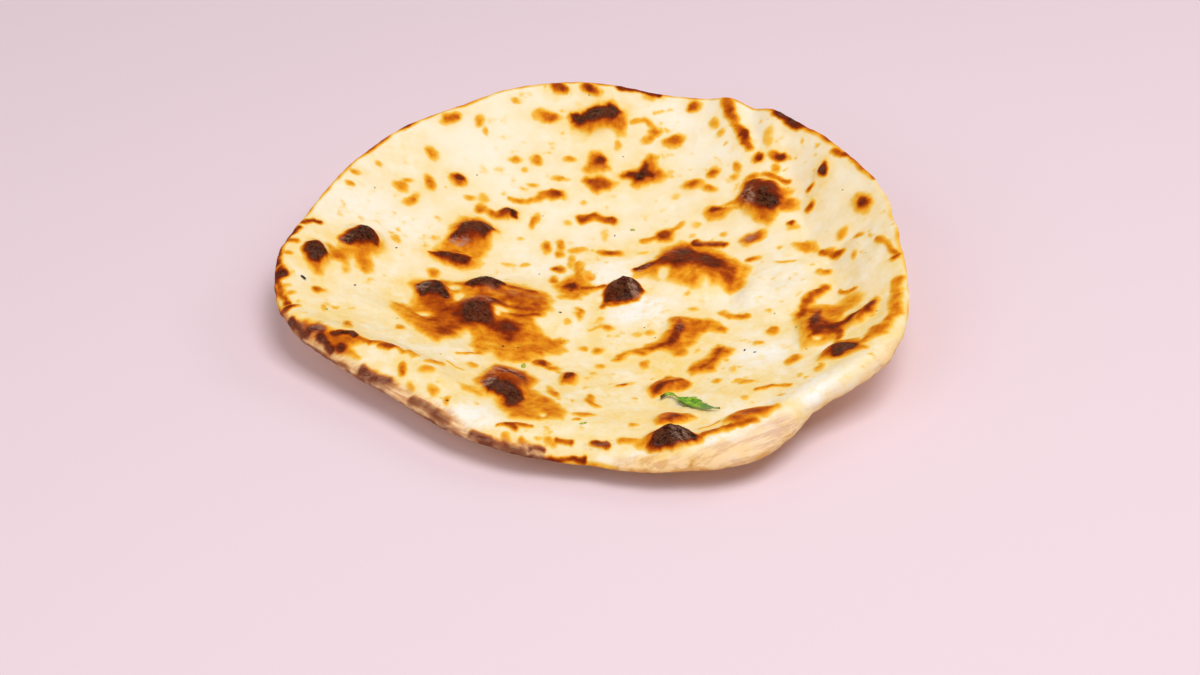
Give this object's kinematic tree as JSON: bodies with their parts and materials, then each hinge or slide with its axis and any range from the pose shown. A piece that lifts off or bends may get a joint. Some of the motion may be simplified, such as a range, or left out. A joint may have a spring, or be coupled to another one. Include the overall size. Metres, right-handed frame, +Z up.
{
  "type": "naan bread",
  "caption": "Round hand-stretched flatbread with charred blisters, sagging like a shallow dish, rims raised at back and right and a turned-down front lip, with a herb leaf on top.",
  "frame": {"origin": "centre of the small flat spot on the underside that the bread rests on", "axes": "+Z up, out of the blistered top; -Y towards the low front rim with its turned-down lip; +X towards the raised right rim"},
  "size_m": [0.2533, 0.2373, 0.0376],
  "materials": {
    "naan": "soft baked dough, pale cream with golden to black charred blisters, thinly buttered",
    "leaf": "fresh green herb leaf, slightly wet"
  },
  "bodies": {
    "root": {"naan": "naan", "coriander_leaf": "leaf"}
  },
  "joints": []
}
